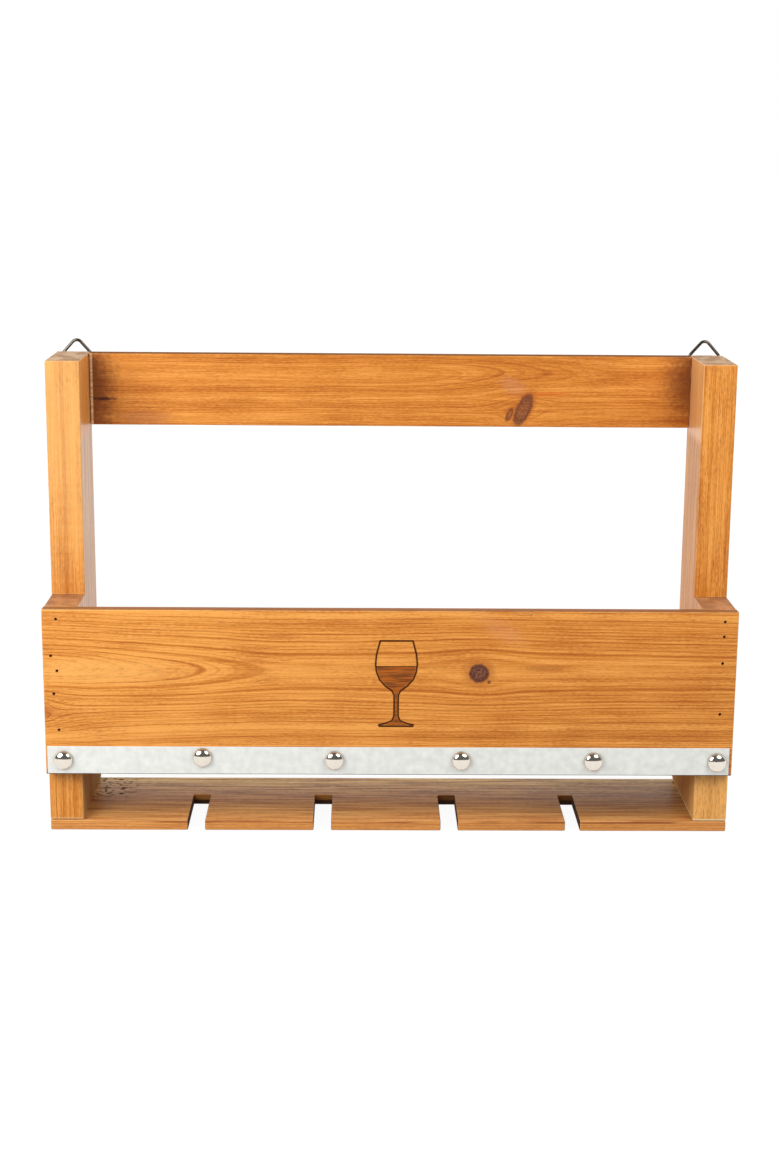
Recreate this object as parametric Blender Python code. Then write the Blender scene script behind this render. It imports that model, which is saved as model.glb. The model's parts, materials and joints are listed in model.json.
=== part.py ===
"""Wall wine rack: a nailed pine trough for bottles over a slotted board that stemmed glasses hang from.

Metres, +Z up. The front faces -Y and the wall is towards +Y. The origin is the middle of the footprint.
Every board, nail, strap and ring is an object of its own. The script clears the scene first.
"""

import math
from dataclasses import dataclass

import bmesh
import bpy
from mathutils import Matrix, Vector

# Gap between two pieces that rest on each other or pass through each other, the cutters' overrun,
# and the distance under which two points of one mesh are the same point
fit_gap = 0.0003
overrun = 0.002
weld_distance = 0.000003

# Side panels: a full-depth lower part, and a narrower post above it
frame_width = 0.445
frame_height = 0.305
side_thickness = 0.022
side_depth = 0.088
post_depth = 0.055
edge_radius = 0.0008

# Glass rack board, under the side panels, and the space for the glasses' feet above it
rack_board_thickness = 0.007
glass_space_height = 0.0345
slot_width = 0.0115
slot_length = 0.051

# The slots, sawn by hand: each one's middle across the frame's width, and its own width
slot_middle_shares = (-0.285, -0.099, 0.089, 0.272)
slot_width_shares = (0.97, 1.0, 0.98, 0.84)

# Front board, over the side panels' front edges
front_board_height = 0.110
front_board_thickness = 0.0085
front_board_overhang = 0.0004

# Trough floor, and the two rails at the back
trough_floor_thickness = 0.007
rail_thickness = 0.0085
back_rail_height = 0.048
lower_rail_height = 0.048

# Trim strip, a little above the front board's lower edge
strip_height = 0.0186
strip_thickness = 0.0006
strip_rise = 0.0005
strip_left_inset = 0.0013
strip_right_inset = 0.0022

# Dome nails: places across the frame's width and up the strip, set by hand
dome_diameter = 0.0125
dome_height = 0.0042
dome_rim = 0.0005
nail_diameter = 0.002
nail_length = 0.008
nail_point_length = 0.002
dome_nail_width_shares = (-0.475, -0.273, -0.081, 0.104, 0.297, 0.478)
dome_nail_height_shares = (0.54, 0.65, 0.56, 0.56, 0.54, 0.52)

# Brads: headless, sunk below the face that they are driven through
brad_diameter = 0.0012
brad_sink = 0.001
brad_point_length = 0.0015
front_brad_length = 0.028
rack_brad_length = 0.028
side_brad_length = 0.038

# Places of the front board's brads: across the side panel from its outer face, and up the front board
left_brad_shares = ((0.40, 0.94), (0.22, 0.72), (0.39, 0.63), (0.28, 0.49), (0.40, 0.27))
right_brad_shares = ((0.38, 0.94), (0.39, 0.85), (0.40, 0.69), (0.41, 0.38))
# Places of the other brads: front to back along the floor and rack board, and up each rail
depth_brad_shares = (0.2, 0.5, 0.8)
back_rail_brad_shares = (0.2, 0.5)
lower_rail_brad_shares = (0.25, 0.75)

# Hangers: a folded strap on each post's back, whose eye holds the base of a triangular wire ring
hanger_inset = 0.0125
hanger_shift = 0.0004
left_ring_drop = 0.0041
right_ring_drop = 0.0025
wire_diameter = 0.0021
ring_half_base = 0.0118
ring_leg_angle = math.radians(48.3)
ring_apex_radius = 0.0036
ring_corner_radius = 0.0018
eye_clearance = 0.0003
strap_width = 0.011
strap_thickness = 0.0009
strap_length = 0.017
strap_corner_radius = 0.0028
strap_screw_drop = 0.0105
eye_wrap = math.radians(60)

# Hanger screws, pan-headed
screw_diameter = 0.003
screw_length = 0.014
screw_point_length = 0.003
screw_head_diameter = 0.0065
screw_head_height = 0.0022
screw_head_rim = 0.0006

# Number of flat faces round a brad, a shank and a dome, and along one bent stretch of wire or strap,
# and the least angle between two faces that shows as an edge
brad_sides = 8
shank_sides = 12
dome_sides = 24
dome_steps = 6
bend_steps = 8
sharp_angle = math.radians(40)

# Heights of the frame
side_bottom = rack_board_thickness + fit_gap
front_board_bottom = rack_board_thickness + glass_space_height
front_board_top = front_board_bottom + front_board_height
trough_floor_top = front_board_bottom + trough_floor_thickness
back_rail_bottom = frame_height - back_rail_height
lower_rail_bottom = trough_floor_top + fit_gap

# Places across the frame
outer_face = frame_width / 2
inner_face = outer_face - side_thickness

# Places front to back, counted from the side panels' front edges
post_front = side_depth - post_depth
front_board_face = -(fit_gap + front_board_thickness)
strip_face = front_board_face - fit_gap - strip_thickness
dome_seat = strip_face - fit_gap
dome_front = dome_seat - dome_height
rail_front = side_depth - rail_thickness
rail_middle = side_depth - rail_thickness / 2

# Places of the strap's leaves and eye, behind the posts
eye_radius = wire_diameter / 2 + eye_clearance + strap_thickness / 2
eye_middle = side_depth + fit_gap + strap_thickness / 2 + eye_radius
eye_back = eye_middle + eye_radius + strap_thickness / 2
strap_back = side_depth + fit_gap + strap_thickness + fit_gap + strap_thickness
screw_seat = strap_back + fit_gap
hardware_back = max(screw_seat + screw_head_height, eye_back)

# Everything is placed from the side panels' front edges, and this centres the footprint on the origin
footprint_shift = -(dome_front + hardware_back) / 2

UP = Vector((0, 0, 1))
BACKWARDS = Vector((0, 1, 0))
FORWARDS = Vector((0, -1, 0))
RIGHTWARDS = Vector((1, 0, 0))
LEFTWARDS = Vector((-1, 0, 0))


@dataclass
class Fastener:
    """A brad, nail or screw: the point where it enters, the way it is driven, and its shank."""

    name: str
    place: Vector
    direction: Vector
    diameter: float
    length: float
    sides: int

    def matrix(self):
        """Turns the shank's own +Z into the driving direction and moves it to its place."""
        turn = self.direction.to_track_quat("Z", "Y").to_matrix().to_4x4()
        return Matrix.Translation(self.place) @ turn


def clear_scene():
    for old in list(bpy.data.objects):
        bpy.data.objects.remove(old)


def make_material(name, colour, roughness, metallic):
    material = bpy.data.materials.new(name)
    material.use_nodes = True
    shader = material.node_tree.nodes["Principled BSDF"]
    shader.inputs["Base Color"].default_value = (*colour, 1)
    shader.inputs["Roughness"].default_value = roughness
    shader.inputs["Metallic"].default_value = metallic
    return material


def make_frame_origin():
    """An empty at the middle of the side panels' front edges, which carries every piece."""
    empty = bpy.data.objects.new("frame_origin", None)
    empty.location = (0, footprint_shift, 0)
    bpy.context.scene.collection.objects.link(empty)
    return empty


def add_piece(name, shape, material, parent):
    """Turns a bmesh into a named object on the parent, with its faces pointing out."""
    bmesh.ops.recalc_face_normals(shape, faces=shape.faces)
    mesh = bpy.data.meshes.new(name)
    shape.to_mesh(mesh)
    shape.free()
    if material:
        mesh.materials.append(material)
    piece = bpy.data.objects.new(name, mesh)
    piece.parent = parent
    bpy.context.scene.collection.objects.link(piece)
    return piece


def block(width, depth, height):
    """A box with its left front lower corner at the object's origin."""
    shape = bmesh.new()
    size = Matrix.Diagonal((width, depth, height, 1))
    bmesh.ops.create_cube(shape, size=1, matrix=size @ Matrix.Translation((0.5, 0.5, 0.5)))
    return shape


def prism(outline, sweep):
    """A flat outline of 3-D points, swept along a vector."""
    shape = bmesh.new()
    face = shape.faces.new([shape.verts.new(point) for point in outline])
    swept = bmesh.ops.extrude_face_region(shape, geom=[face])
    moved = [item for item in swept["geom"] if isinstance(item, bmesh.types.BMVert)]
    bmesh.ops.translate(shape, verts=moved, vec=sweep)
    return shape


def turned(profile, sides):
    """A profile of (radius, height) points, both ends on the axis, spun round Z."""
    shape = bmesh.new()
    points = [shape.verts.new((radius, 0, height)) for radius, height in profile]
    edges = [shape.edges.new(pair) for pair in zip(points, points[1:])]
    bmesh.ops.spin(
        shape,
        geom=points + edges,
        cent=(0, 0, 0),
        axis=UP,
        angle=math.tau,
        steps=sides,
        use_merge=True,
    )
    bmesh.ops.remove_doubles(shape, verts=shape.verts, dist=weld_distance)
    return shape


def smooth(piece):
    piece.data.shade_smooth()
    piece.data.set_sharp_from_angle(angle=sharp_angle)


def ease_edges(piece):
    """Rounds a board's edges, as sanding does."""
    bevel = piece.modifiers.new("eased edges", "BEVEL")
    bevel.width = edge_radius
    bevel.segments = 2
    bevel.limit_method = "ANGLE"


def drill(piece, fasteners):
    """Cuts a clearance hole for each fastener that enters or crosses the piece."""
    shape = bmesh.new()
    for item in fasteners:
        depth = item.length + fit_gap + overrun
        middle = Matrix.Translation((0, 0, depth / 2 - overrun))
        bmesh.ops.create_cone(
            shape,
            cap_ends=True,
            segments=item.sides,
            radius1=item.diameter / 2 + fit_gap,
            radius2=item.diameter / 2 + fit_gap,
            depth=depth,
            matrix=item.matrix() @ middle,
        )
    cutter = add_piece(piece.name + "_holes", shape, None, piece.parent)
    cutter.hide_render = True
    cutter.display_type = "WIRE"
    cut = piece.modifiers.new("holes", "BOOLEAN")
    cut.operation = "DIFFERENCE"
    cut.object = cutter


def board(name, low, high, material, parent):
    """A plain board between two corners, with its edges eased."""
    size = Vector(high) - Vector(low)
    piece = add_piece(name, block(*size), material, parent)
    piece.location = low
    ease_edges(piece)
    return piece


def side_panel(name, left, material, parent):
    """An L-shaped panel, cut from one board and standing on the glass rack board."""
    outline = [
        (left, 0, side_bottom),
        (left, side_depth, side_bottom),
        (left, side_depth, frame_height),
        (left, post_front, frame_height),
        (left, post_front, front_board_top),
        (left, 0, front_board_top),
    ]
    piece = add_piece(name, prism(outline, RIGHTWARDS * side_thickness), material, parent)
    ease_edges(piece)
    return piece


def glass_rack_board(material, parent):
    """A comb: a thin board with slots that run in from its front edge."""
    outline = [(-outer_face, side_depth, 0), (-outer_face, 0, 0)]
    for middle_share, width_share in zip(slot_middle_shares, slot_width_shares):
        slot_left = frame_width * middle_share - slot_width * width_share / 2
        slot_right = frame_width * middle_share + slot_width * width_share / 2
        outline += [(slot_left, 0, 0), (slot_left, slot_length, 0)]
        outline += [(slot_right, slot_length, 0), (slot_right, 0, 0)]
    outline += [(outer_face, 0, 0), (outer_face, side_depth, 0)]
    piece = add_piece("glass_rack_board", prism(outline, UP * rack_board_thickness), material, parent)
    ease_edges(piece)
    return piece


def back_rail(material, parent):
    """The rail between the posts' tops, flush with their backs."""
    low = (-inner_face + fit_gap, rail_front, back_rail_bottom)
    high = (inner_face - fit_gap, side_depth, frame_height)
    return board("back_rail", low, high, material, parent)


def lower_back_rail(material, parent):
    """The rail that closes the back of the trough, standing on its floor."""
    low = (-inner_face + fit_gap, rail_front, lower_rail_bottom)
    high = (inner_face - fit_gap, side_depth, lower_rail_bottom + lower_rail_height)
    return board("lower_back_rail", low, high, material, parent)


def trough_floor(material, parent):
    low = (-inner_face + fit_gap, 0, front_board_bottom)
    high = (inner_face - fit_gap, side_depth, trough_floor_top)
    return board("trough_floor", low, high, material, parent)


def front_board(material, parent):
    half_width = outer_face + front_board_overhang
    low = (-half_width, front_board_face, front_board_bottom)
    high = (half_width, -fit_gap, front_board_top)
    return board("front_board", low, high, material, parent)


def trim_strip(material, parent):
    """The sheet-metal strip along the front board's lower edge."""
    half_width = outer_face + front_board_overhang
    length = 2 * half_width - strip_left_inset - strip_right_inset
    piece = add_piece("trim_strip", block(length, strip_thickness, strip_height), material, parent)
    piece.location = (-half_width + strip_left_inset, strip_face, front_board_bottom + strip_rise)
    return piece


def front_brads():
    """The brads through the front board into each side panel's front edge."""
    brads = []
    for side, sign, shares in (("left", -1, left_brad_shares), ("right", 1, right_brad_shares)):
        for number, (inset_share, height_share) in enumerate(shares, 1):
            across = sign * (outer_face - side_thickness * inset_share)
            height = front_board_bottom + front_board_height * height_share
            name = f"front_board_brad_{side}_{number}"
            place = Vector((across, front_board_face, height))
            brads.append(brad(name, place, BACKWARDS, front_brad_length))
    return brads


def rack_brads():
    """The brads up through the glass rack board into the side panels."""
    brads = []
    for side, sign in (("left", -1), ("right", 1)):
        for number, share in enumerate(depth_brad_shares, 1):
            place = Vector((sign * (outer_face - side_thickness / 2), side_depth * share, 0))
            brads.append(brad(f"glass_rack_brad_{side}_{number}", place, UP, rack_brad_length))
    return brads


def cross_brads(label, places):
    """Brads through both side panels' outer faces into a board's ends, at (depth, height) places."""
    brads = []
    for side, sign, direction in (("left", -1, RIGHTWARDS), ("right", 1, LEFTWARDS)):
        for number, (depth, height) in enumerate(places, 1):
            place = Vector((sign * outer_face, depth, height))
            brads.append(brad(f"{label}_brad_{side}_{number}", place, direction, side_brad_length))
    return brads


def floor_brads():
    height = front_board_bottom + trough_floor_thickness / 2
    return cross_brads("trough_floor", [(side_depth * share, height) for share in depth_brad_shares])


def back_rail_brads():
    heights = [back_rail_bottom + back_rail_height * share for share in back_rail_brad_shares]
    return cross_brads("back_rail", [(rail_middle, height) for height in heights])


def lower_rail_brads():
    heights = [lower_rail_bottom + lower_rail_height * share for share in lower_rail_brad_shares]
    return cross_brads("lower_rail", [(rail_middle, height) for height in heights])


def brad(name, face_place, direction, length):
    """A brad whose end is sunk below the face, so its length counts from the face."""
    return Fastener(name, face_place, direction, brad_diameter, length + brad_sink, brad_sides)


def dome_nails():
    """The domed nails through the strip, which end inside the front board."""
    nails = []
    places = zip(dome_nail_width_shares, dome_nail_height_shares)
    for number, (width_share, height_share) in enumerate(places, 1):
        height = front_board_bottom + strip_height * height_share
        place = Vector((frame_width * width_share, dome_seat, height))
        name = f"dome_nail_{number}"
        nails.append(Fastener(name, place, BACKWARDS, nail_diameter, nail_length, shank_sides))
    return nails


def hanger_screw(side, across, ring_height):
    name = f"hanger_screw_{side}"
    place = Vector((across, screw_seat, ring_height - strap_screw_drop))
    return Fastener(name, place, FORWARDS, screw_diameter, screw_length, shank_sides)


def place_turned(item, profile, sides, material, parent):
    """A turned fastener, standing on its place and pointing the way it is driven."""
    piece = add_piece(item.name, turned(profile, sides), material, parent)
    piece.location = item.place
    piece.rotation_euler = item.direction.to_track_quat("Z", "Y").to_euler()
    smooth(piece)
    return piece


def add_brad(item, material, parent):
    radius = item.diameter / 2
    shoulder = item.length - brad_point_length
    profile = [(0, brad_sink), (radius, brad_sink), (radius, shoulder), (0, item.length)]
    return place_turned(item, profile, item.sides, material, parent)


def dome_profile(radius, height, rim, steps):
    """A rounded cap over a short upright rim, from its crown down to its underside."""
    points = [(0, -height)]
    for step in range(1, steps + 1):
        turn = math.pi / 2 * step / steps
        points.append((radius * math.sin(turn), -rim - (height - rim) * math.cos(turn)))
    return points + [(radius, 0)]


def add_headed(item, head_diameter, head_height, head_rim, point_length, material, parent):
    """A nail or screw: a domed head on a pointed shank."""
    radius = item.diameter / 2
    profile = dome_profile(head_diameter / 2, head_height, head_rim, dome_steps)
    profile += [(radius, 0), (radius, item.length - point_length), (0, item.length)]
    return place_turned(item, profile, dome_sides, material, parent)


def arc(middle, radius, start, end, steps):
    """Points along an arc in a plane, angles in radians."""
    points = []
    for step in range(steps + 1):
        turn = start + (end - start) * step / steps
        points.append(Vector(middle) + radius * Vector((math.cos(turn), math.sin(turn))))
    return points


def ribbon(path, thickness):
    """The closed outline of a strip of even thickness along a path of 2-D points."""
    sides = ([], [])
    for index, point in enumerate(path):
        before = (point - path[index - 1]).normalized() if index else None
        after = (path[index + 1] - point).normalized() if index + 1 < len(path) else None
        before = before or after
        after = after or before
        across = Vector((-before.y - after.y, before.x + after.x)).normalized()
        reach = thickness / 2 / across.dot(Vector((-before.y, before.x)))
        sides[0].append(point + across * reach)
        sides[1].append(point - across * reach)
    return sides[0] + sides[1][::-1]


def strap_path():
    """The folded strap from its side, about the eye's middle: up a leaf, round the eye, down the other."""
    back_leaf = -eye_radius + strap_thickness + fit_gap
    eye = arc((0, 0), eye_radius, math.pi, -eye_wrap, 2 * bend_steps)
    slope = Vector((-math.sin(eye_wrap), -math.cos(eye_wrap)))
    run = (back_leaf - eye[-1].x) / slope.x
    bend = eye[-1] + slope * run
    return [Vector((-eye_radius, -strap_length)), *eye, bend, Vector((back_leaf, -strap_length))]


def add_strap(side, across, ring_height, screw, material, parent):
    """The ribbon outline swept across, its four lower corners rounded, and drilled for the screw."""
    outline = [(-strap_width / 2, point.x, point.y) for point in ribbon(strap_path(), strap_thickness)]
    shape = prism(outline, RIGHTWARDS * strap_width)
    lower_ends = [edge for edge in shape.edges if is_strap_corner(edge)]
    bmesh.ops.bevel(
        shape,
        geom=lower_ends,
        offset=strap_corner_radius,
        segments=bend_steps // 2,
        profile=0.5,
        affect="EDGES",
    )
    piece = add_piece(f"hanger_strap_{side}", shape, material, parent)
    piece.location = (across, eye_middle, ring_height)
    smooth(piece)
    drill(piece, [screw])
    return piece


def is_strap_corner(edge):
    """True for the short edges through a leaf's thickness, at its lower end."""
    first, second = (corner.co for corner in edge.verts)
    lowest = -strap_length + strap_thickness / 2
    return first.z < lowest and second.z < lowest and abs(first.x - second.x) < strap_thickness / 2


def ring_points():
    """The wire's middle line: a triangle with a rounded apex and two rounded base corners."""
    corner_across = ring_half_base - ring_corner_radius / math.tan(ring_leg_angle / 2)
    corner_middle = (corner_across, ring_corner_radius)
    apex_height = ring_half_base * math.tan(ring_leg_angle)
    apex_middle = (0, apex_height - ring_apex_radius / math.cos(ring_leg_angle))
    base_normal = -math.pi / 2
    leg_normal = math.pi / 2 - ring_leg_angle
    right = arc(corner_middle, ring_corner_radius, base_normal, leg_normal, bend_steps)
    apex = arc(apex_middle, ring_apex_radius, leg_normal, math.pi - leg_normal, bend_steps)
    left = [Vector((-point.x, point.y)) for point in reversed(right)]
    return right + apex + left


def add_ring(side, across, ring_height, material, parent):
    """The bent wire, with its origin on the axis of its base, which turns in the strap's eye."""
    name = f"hanger_ring_{side}"
    curve = bpy.data.curves.new(name, "CURVE")
    curve.dimensions = "3D"
    curve.bevel_depth = wire_diameter / 2
    curve.bevel_resolution = 2
    points = ring_points()
    line = curve.splines.new("POLY")
    line.points.add(len(points) - 1)
    for target, point in zip(line.points, points):
        target.co = (point.x, 0, point.y, 1)
    line.use_cyclic_u = True
    line.use_smooth = True
    curve.materials.append(material)
    piece = bpy.data.objects.new(name, curve)
    piece.location = (across, eye_middle, ring_height)
    piece.parent = parent
    bpy.context.scene.collection.objects.link(piece)
    return piece


def build():
    clear_scene()
    pine = make_material("stained_pine", (0.76, 0.33, 0.10), 0.4, 0)
    galvanised = make_material("galvanised_steel", (0.78, 0.80, 0.78), 0.35, 1)
    nickel = make_material("polished_nickel", (0.80, 0.76, 0.70), 0.12, 1)
    dark_wire = make_material("gunmetal_wire", (0.22, 0.20, 0.18), 0.3, 1)
    plated = make_material("plated_steel", (0.55, 0.54, 0.50), 0.3, 1)
    brad_steel = make_material("brad_steel", (0.30, 0.28, 0.26), 0.45, 1)
    frame = make_frame_origin()

    front = front_brads()
    under = rack_brads()
    floor = floor_brads()
    rail = back_rail_brads()
    lower = lower_rail_brads()
    nails = dome_nails()

    drill(front_board(pine, frame), front + nails)
    drill(trim_strip(galvanised, frame), nails)
    drill(glass_rack_board(pine, frame), under)
    drill(trough_floor(pine, frame), floor)
    drill(back_rail(pine, frame), rail)
    drill(lower_back_rail(pine, frame), lower)

    for side, sign, ring_drop in (("left", -1, left_ring_drop), ("right", 1, right_ring_drop)):
        across = sign * (outer_face - hanger_inset) + hanger_shift
        ring_height = frame_height - ring_drop
        screw = hanger_screw(side, across, ring_height)
        left_face = min(sign * outer_face, sign * inner_face)
        panel = side_panel(f"{side}_side_panel", left_face, pine, frame)
        own = [item for item in front + under + floor + rail + lower if item.place.x * sign > 0]
        drill(panel, own + [screw])
        add_strap(side, across, ring_height, screw, plated, frame)
        add_ring(side, across, ring_height, dark_wire, frame)
        add_headed(
            screw,
            screw_head_diameter,
            screw_head_height,
            screw_head_rim,
            screw_point_length,
            plated,
            frame,
        )

    for nail in nails:
        add_headed(nail, dome_diameter, dome_height, dome_rim, nail_point_length, nickel, frame)
    for item in front + under + floor + rail + lower:
        add_brad(item, brad_steel, frame)


build()
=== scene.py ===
"""Dresses the wall wine rack: pine boards, metal trim and hangers, on a pale studio floor.

Laid out as an add-on and run as a script. Lengths are metres, and shader patterns count in millimetres.
"""

import json
import math
from dataclasses import dataclass

import bpy
import numpy as np
from bpy.props import FloatProperty, FloatVectorProperty, PointerProperty
from mathutils import Matrix, Vector


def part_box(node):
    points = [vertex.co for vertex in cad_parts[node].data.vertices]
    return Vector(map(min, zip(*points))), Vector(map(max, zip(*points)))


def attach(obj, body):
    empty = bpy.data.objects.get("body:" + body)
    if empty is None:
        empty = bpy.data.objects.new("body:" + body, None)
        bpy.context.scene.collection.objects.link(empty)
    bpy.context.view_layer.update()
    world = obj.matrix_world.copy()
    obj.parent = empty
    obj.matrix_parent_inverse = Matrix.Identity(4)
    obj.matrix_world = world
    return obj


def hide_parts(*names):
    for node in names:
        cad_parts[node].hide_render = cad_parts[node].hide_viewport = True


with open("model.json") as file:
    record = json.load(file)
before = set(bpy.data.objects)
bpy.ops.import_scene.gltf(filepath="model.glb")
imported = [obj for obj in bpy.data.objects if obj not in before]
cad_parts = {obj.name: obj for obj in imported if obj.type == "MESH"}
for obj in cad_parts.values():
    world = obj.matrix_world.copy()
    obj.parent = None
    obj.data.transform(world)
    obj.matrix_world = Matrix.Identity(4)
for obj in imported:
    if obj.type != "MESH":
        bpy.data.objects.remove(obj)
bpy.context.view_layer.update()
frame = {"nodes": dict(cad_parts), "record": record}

bl_info = {
    "name": "Wall wine rack",
    "version": (1, 0, 0),
    "blender": (4, 5, 0),
    "location": "3D View > Sidebar > Rack",
    "description": "Dresses a nailed pine rack for bottles and hanging glasses",
    "category": "Object",
}

MM = 0.001
X, Y, Z = 0, 1, 2

# The solids' own lengths that their boxes don't tell
post_depth = 55 * MM
frame_width = 445 * MM
slot_length = 51 * MM
slot_width = 11.5 * MM
slot_middle_shares = (-0.285, -0.099, 0.089, 0.272)
slot_width_shares = (0.97, 1.0, 0.98, 0.84)
dome_height = 4.2 * MM
dome_rim = 0.5 * MM
nail_diameter = 2 * MM
nail_point = 2 * MM
wire_diameter = 2.1 * MM
ring_half_base = 11.8 * MM
ring_leg_angle = math.radians(48.3)
ring_apex_radius = 3.6 * MM
ring_corner_radius = 1.8 * MM
eye_clearance = 0.3 * MM
eye_wrap = math.radians(60)
strap_width = 11 * MM
strap_thickness = 0.9 * MM
strap_length = 17 * MM
strap_corner_radius = 2.8 * MM
screw_diameter = 3 * MM
screw_head_height = 2.2 * MM
screw_head_rim = 0.6 * MM
screw_point = 3 * MM
brad_sink = 1 * MM

# Detail that the solids don't have
board_reveal = 0.3 * MM
strip_edge_radius = 0.2 * MM
strip_wave = 0.18 * MM
pit_radius = 1.1 * MM
pit_depth = 1.2 * MM
pit_floor_share = 0.55
# How near to a face a point must be to go with its pit, its engraving or the nick in its upper edge
pit_reach = 0.4 * MM
engraving_reach = 0.6 * MM
nick_reach = 1.2 * MM
thread_pitch = 1.3 * MM
thread_depth_share = 0.28
recess_half_width = 0.35 * MM
recess_half_length = 1.5 * MM
recess_depth = 1.0 * MM
recess_middle_depth = 1.2 * MM
nick_place = 89.6 * MM
nick_half_width = 1.0 * MM
nick_depth = 0.7 * MM
# In the shader's millimetres: how far the grain wanders across a board, and half a burnt line's width
grain_warp = 2.4
burnt_half_width = 0.42

# The pitch of the grids, which are finer under the engraving and the nick
board_pitch = 5 * MM
strip_pitch = 3 * MM
figure_pitch = 0.52 * MM
nick_pitch = 0.4 * MM
# Grid lines that close up to a board's edge, as shares of its edge radius
edge_line_shares = (0.35, 1.0, 1.7)
# Two grid lines nearer than this are one
least_line_gap = 0.08 * MM
# One less the cosine of 45 degrees, for the middle of a rounded edge, which counts as fully worn
edge_lean = 0.29

mid_grey = (0.5, 0.5, 0.5)
lamp_aim = Vector((0, 0, 0.15))
# How bright mirrors see the room in front of the rack, as a share of the white behind it
room_share = 0.13
floor_half_size = 6.0
# In the shader's millimetres: where the floor begins to brighten to white, and where it is white
floor_fade = (500.0, 1500.0)
floor_level = -0.2 * MM


def srgb(red, green, blue):
    """A display colour, 0 to 255, as the linear colour that a shader takes."""
    shares = (channel / 255 for channel in (red, green, blue))
    return tuple(s / 12.92 if s <= 0.04045 else ((s + 0.055) / 1.055) ** 2.4 for s in shares)


def colour_property(name, description, default):
    return FloatVectorProperty(
        name=name, description=description, subtype="COLOR", size=3, min=0, max=1, default=default
    )


def length_property(name, description, default):
    return FloatProperty(name=name, description=description, unit="LENGTH", min=0, default=default)


def share_property(name, description, default):
    return FloatProperty(
        name=name, description=description, subtype="FACTOR", min=0, max=1, default=default
    )


def angle_property(name, description, default):
    return FloatProperty(name=name, description=description, subtype="ANGLE", default=default)


def place_property(name, description, default):
    return FloatVectorProperty(
        name=name, description=description, subtype="TRANSLATION", size=3, default=default
    )


class PineSettings(bpy.types.PropertyGroup):
    early_wood: colour_property("Early wood", "Pale wood between the grain lines", srgb(244, 168, 80))
    mid_wood: colour_property("Mid wood", "Wood of middling darkness", srgb(209, 127, 42))
    late_wood: colour_property("Late wood", "The grain lines", srgb(166, 82, 18))
    end_grain: colour_property("End grain", "Sawn ends of the boards", srgb(206, 170, 138))
    knot_wood: colour_property("Knot", "Wood inside a knot", srgb(140, 88, 62))
    knot_rim: colour_property("Knot rim", "Bark and resin round a knot", srgb(84, 38, 22))
    # Partly painted highlight: the eased edges are paler where sanded, and painted lighter as if lit
    lit_edge: colour_property("Lit edge", "Rubbed edges of the boards", srgb(250, 214, 160))
    # Painted shade: the brad holes are painted near black, for the shade inside them
    pit: colour_property("Pit", "The hole over a sunk brad", srgb(12, 6, 2))
    burnt_line: colour_property("Burnt line", "Outline of the engraved figure", srgb(62, 20, 0))
    burnt_fill: colour_property("Burnt fill", "Inside of the engraved figure", srgb(172, 84, 8))
    edge_radius: length_property("Edge radius", "How far the boards' edges are eased", 0.8 * MM)
    sanding_depth: length_property("Sanding", "Depth of the low waves that sanding leaves", 0.07 * MM)
    engraving_depth: length_property("Engraving", "Depth of the engraved figure", 0.3 * MM)
    varnish: share_property("Varnish", "Weight of the clear coat", 0.15)


class MetalSettings(bpy.types.PropertyGroup):
    galvanised: colour_property("Galvanised steel", "The trim strip", srgb(244, 246, 240))
    nickel: colour_property("Polished nickel", "The dome nails", srgb(234, 225, 212))
    gunmetal: colour_property("Gunmetal wire", "The hanger rings", srgb(104, 98, 90))
    plated: colour_property("Plated steel", "The hanger straps and screws", srgb(196, 194, 184))
    brad_steel: colour_property("Brad steel", "The sunk brads", srgb(30, 23, 18))


class StageSettings(bpy.types.PropertyGroup):
    camera_place: place_property("Camera", "Where the camera stands", (-0.020934, -1.258240, 0.448105))
    camera_pitch: angle_property("Pitch", "Tilt down", 0.22713)
    camera_yaw: angle_property("Yaw", "Turn to the right", 0.01656)
    camera_roll: angle_property("Roll", "Turn of the frame", 0.00839)
    lens: FloatProperty(name="Lens", description="Focal length", unit="CAMERA", min=1, default=60.105)
    left_place: place_property("Left lamp's place", "Middle of the left lamp", (-0.57, -0.56, 0.54))
    left_light: share_property("Left lamp", "Share of the light", 0.75)
    right_place: place_property("Right lamp's place", "Middle of the right lamp", (0.51, -0.56, 0.72))
    right_light: share_property("Right lamp", "Share of the light", 0.50)
    lamp_size: length_property("Lamp size", "Diameter of each lamp", 0.6)
    ambient: share_property("Ambient", "Light from all round", 0.12)
    backdrop: share_property("Backdrop", "Light from behind the rack", 0.95)
    floor_colour: colour_property("Floor", "The floor as it lights the rack", mid_grey)
    floor_glow: share_property("Floor glow", "The floor to the camera", 0.94)
    floor_shadow: share_property("Floor shadow", "Part that a shadow takes", 0.1)


# Shader graphs


def math_method(operation, turned_round=False):
    """A method that adds one Math node, with the other value first if it is turned round."""

    def method(self, *others):
        values = (*others, self) if turned_round else (self, *others)
        return self.finish.node("ShaderNodeMath", {"operation": operation}, dict(enumerate(values)))

    return method


class Signal:
    """A socket that stands in sums and products, each of which adds one Math node."""

    __add__ = math_method("ADD")
    __radd__ = math_method("ADD", turned_round=True)
    __sub__ = math_method("SUBTRACT")
    __rsub__ = math_method("SUBTRACT", turned_round=True)
    __mul__ = math_method("MULTIPLY")
    __rmul__ = math_method("MULTIPLY", turned_round=True)
    __truediv__ = math_method("DIVIDE")
    __rtruediv__ = math_method("DIVIDE", turned_round=True)
    __abs__ = math_method("ABSOLUTE")
    root = math_method("SQRT")
    fraction = math_method("FRACT")
    floor = math_method("FLOOR")

    def __init__(self, finish, socket):
        self.finish = finish
        self.socket = socket

    def clamped(self):
        return self.finish.node("ShaderNodeClamp", inputs={0: self, 1: 0.0, 2: 1.0})

    def rise(self, start, end):
        """Zero below start, one above end, and a smooth step between."""
        settings = {"interpolation_type": "SMOOTHSTEP"}
        return self.finish.node("ShaderNodeMapRange", settings, {0: self, 1: start, 2: end, 3: 0.0, 4: 1.0})


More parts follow.
